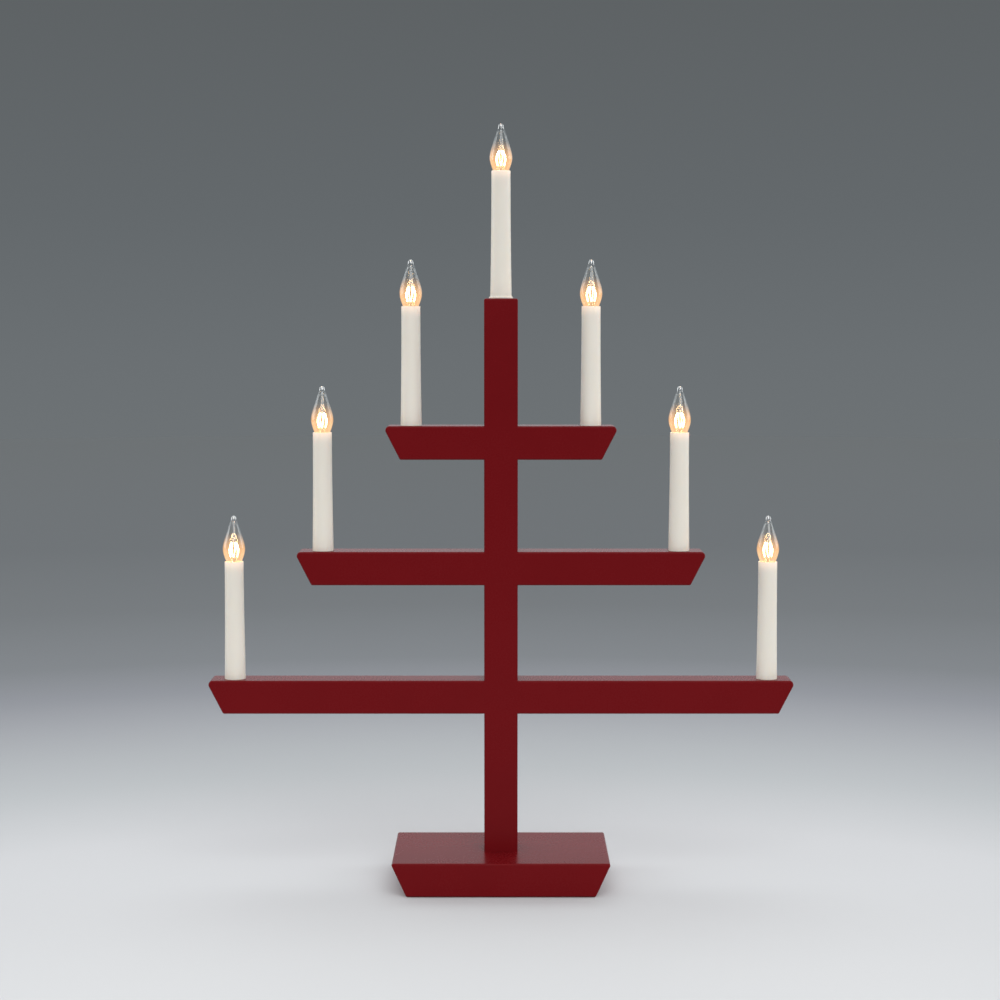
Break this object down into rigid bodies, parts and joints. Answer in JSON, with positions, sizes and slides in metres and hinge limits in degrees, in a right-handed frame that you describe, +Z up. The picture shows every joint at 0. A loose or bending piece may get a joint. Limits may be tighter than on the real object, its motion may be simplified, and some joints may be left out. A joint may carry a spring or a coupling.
{
  "type": "electric candle tree",
  "caption": "Free-standing wooden candle tree: a square post on a broad foot, crossing arms with undercut ends, and electric candles whose flame-shaped bulbs unscrew.",
  "frame": {"origin": "middle of the foot's underside, on the surface that it stands on", "axes": "+Z up along the post, +X along the arms to the right as seen from the front; the front faces -Y, and the grooves and the cord outlet face +Y"},
  "size_m": [0.5594, 0.124, 0.7264],
  "materials": {
    "red_paint": "satin paint",
    "felt": "matt",
    "ivory_plastic": "semi-matt",
    "white_plastic": "semi-matt",
    "rubber": "matt",
    "lead_sheath": "semi-matt",
    "brass": "bright",
    "steel": "zinc plated",
    "filament": "lit",
    "clear_glass": "clear"
  },
  "bodies": {
    "tree": {"foot_felt": "felt", "foot_block": "red_paint", "post": "red_paint", "strip_post": "red_paint", "post_screw_left": "steel", "post_screw_right": "steel", "wiring": "lead_sheath", "cord_bush": "rubber", "terminal_block": "white_plastic", "arm_lower": "red_paint", "strip_lower_left": "red_paint", "strip_lower_right": "red_paint", "arm_middle": "red_paint", "strip_middle_left": "red_paint", "strip_middle_right": "red_paint", "arm_upper": "red_paint", "strip_upper_left": "red_paint", "strip_upper_right": "red_paint", "candle_sleeve_top": "ivory_plastic", "lamp_holder_top": "white_plastic", "socket_shell_top": "brass", "candle_sleeve_lower_left": "ivory_plastic", "lamp_holder_lower_left": "white_plastic", "socket_shell_lower_left": "brass", "candle_sleeve_lower_right": "ivory_plastic", "lamp_holder_lower_right": "white_plastic", "socket_shell_lower_right": "brass", "candle_sleeve_middle_left": "ivory_plastic", "lamp_holder_middle_left": "white_plastic", "socket_shell_middle_left": "brass", "candle_sleeve_middle_right": "ivory_plastic", "lamp_holder_middle_right": "white_plastic", "socket_shell_middle_right": "brass", "candle_sleeve_upper_left": "ivory_plastic", "lamp_holder_upper_left": "white_plastic", "socket_shell_upper_left": "brass", "candle_sleeve_upper_right": "ivory_plastic", "lamp_holder_upper_right": "white_plastic", "socket_shell_upper_right": "brass"},
    "top_cap": {"bulb_cap_top": "brass"},
    "top_bulb": {"bulb_glass_top": "clear_glass", "filament_mount_top": "filament"},
    "lower_left_cap": {"bulb_cap_lower_left": "brass"},
    "lower_left_bulb": {"bulb_glass_lower_left": "clear_glass", "filament_mount_lower_left": "filament"},
    "lower_right_cap": {"bulb_cap_lower_right": "brass"},
    "lower_right_bulb": {"bulb_glass_lower_right": "clear_glass", "filament_mount_lower_right": "filament"},
    "middle_left_cap": {"bulb_cap_middle_left": "brass"},
    "middle_left_bulb": {"bulb_glass_middle_left": "clear_glass", "filament_mount_middle_left": "filament"},
    "middle_right_cap": {"bulb_cap_middle_right": "brass"},
    "middle_right_bulb": {"bulb_glass_middle_right": "clear_glass", "filament_mount_middle_right": "filament"},
    "upper_left_cap": {"bulb_cap_upper_left": "brass"},
    "upper_left_bulb": {"bulb_glass_upper_left": "clear_glass", "filament_mount_upper_left": "filament"},
    "upper_right_cap": {"bulb_cap_upper_right": "brass"},
    "upper_right_bulb": {"bulb_glass_upper_right": "clear_glass", "filament_mount_upper_right": "filament"}
  },
  "joints": [
    {"name": "top_bulb_rise", "type": "slide", "parent": "tree", "child": "top_cap", "axis": [0, 0, 1], "range_m": [0, 0.00815]},
    {"name": "top_bulb_turn", "type": "hinge", "parent": "top_cap", "child": "top_bulb", "pos_m": [0, 0, 0.5624], "axis": [0, 0, 1], "range_deg": [0, 1620]},
    {"name": "lower_left_bulb_rise", "type": "slide", "parent": "tree", "child": "lower_left_cap", "axis": [0, 0, 1], "range_m": [0, 0.00815]},
    {"name": "lower_left_bulb_turn", "type": "hinge", "parent": "lower_left_cap", "child": "lower_left_bulb", "pos_m": [-0.2557, 0, 0.1916], "axis": [0, 0, 1], "range_deg": [0, 1620]},
    {"name": "lower_right_bulb_rise", "type": "slide", "parent": "tree", "child": "lower_right_cap", "axis": [0, 0, 1], "range_m": [0, 0.00815]},
    {"name": "lower_right_bulb_turn", "type": "hinge", "parent": "lower_right_cap", "child": "lower_right_bulb", "pos_m": [0.2557, 0, 0.1916], "axis": [0, 0, 1], "range_deg": [0, 1620]},
    {"name": "middle_left_bulb_rise", "type": "slide", "parent": "tree", "child": "middle_left_cap", "axis": [0, 0, 1], "range_m": [0, 0.00815]},
    {"name": "middle_left_bulb_turn", "type": "hinge", "parent": "middle_left_cap", "child": "middle_left_bulb", "pos_m": [-0.1703, 0, 0.3154], "axis": [0, 0, 1], "range_deg": [0, 1620]},
    {"name": "middle_right_bulb_rise", "type": "slide", "parent": "tree", "child": "middle_right_cap", "axis": [0, 0, 1], "range_m": [0, 0.00815]},
    {"name": "middle_right_bulb_turn", "type": "hinge", "parent": "middle_right_cap", "child": "middle_right_bulb", "pos_m": [0.1703, 0, 0.3154], "axis": [0, 0, 1], "range_deg": [0, 1620]},
    {"name": "upper_left_bulb_rise", "type": "slide", "parent": "tree", "child": "upper_left_cap", "axis": [0, 0, 1], "range_m": [0, 0.00815]},
    {"name": "upper_left_bulb_turn", "type": "hinge", "parent": "upper_left_cap", "child": "upper_left_bulb", "pos_m": [-0.0855, 0, 0.4351], "axis": [0, 0, 1], "range_deg": [0, 1620]},
    {"name": "upper_right_bulb_rise", "type": "slide", "parent": "tree", "child": "upper_right_cap", "axis": [0, 0, 1], "range_m": [0, 0.00815]},
    {"name": "upper_right_bulb_turn", "type": "hinge", "parent": "upper_right_cap", "child": "upper_right_bulb", "pos_m": [0.0855, 0, 0.4351], "axis": [0, 0, 1], "range_deg": [0, 1620]}
  ],
  "couplings": [
    {"joint": "top_bulb_rise", "follows": "top_bulb_turn", "m_per_rad": 0.00028807},
    {"joint": "lower_left_bulb_rise", "follows": "lower_left_bulb_turn", "m_per_rad": 0.00028807},
    {"joint": "lower_right_bulb_rise", "follows": "lower_right_bulb_turn", "m_per_rad": 0.00028807},
    {"joint": "middle_left_bulb_rise", "follows": "middle_left_bulb_turn", "m_per_rad": 0.00028807},
    {"joint": "middle_right_bulb_rise", "follows": "middle_right_bulb_turn", "m_per_rad": 0.00028807},
    {"joint": "upper_left_bulb_rise", "follows": "upper_left_bulb_turn", "m_per_rad": 0.00028807},
    {"joint": "upper_right_bulb_rise", "follows": "upper_right_bulb_turn", "m_per_rad": 0.00028807}
  ]
}
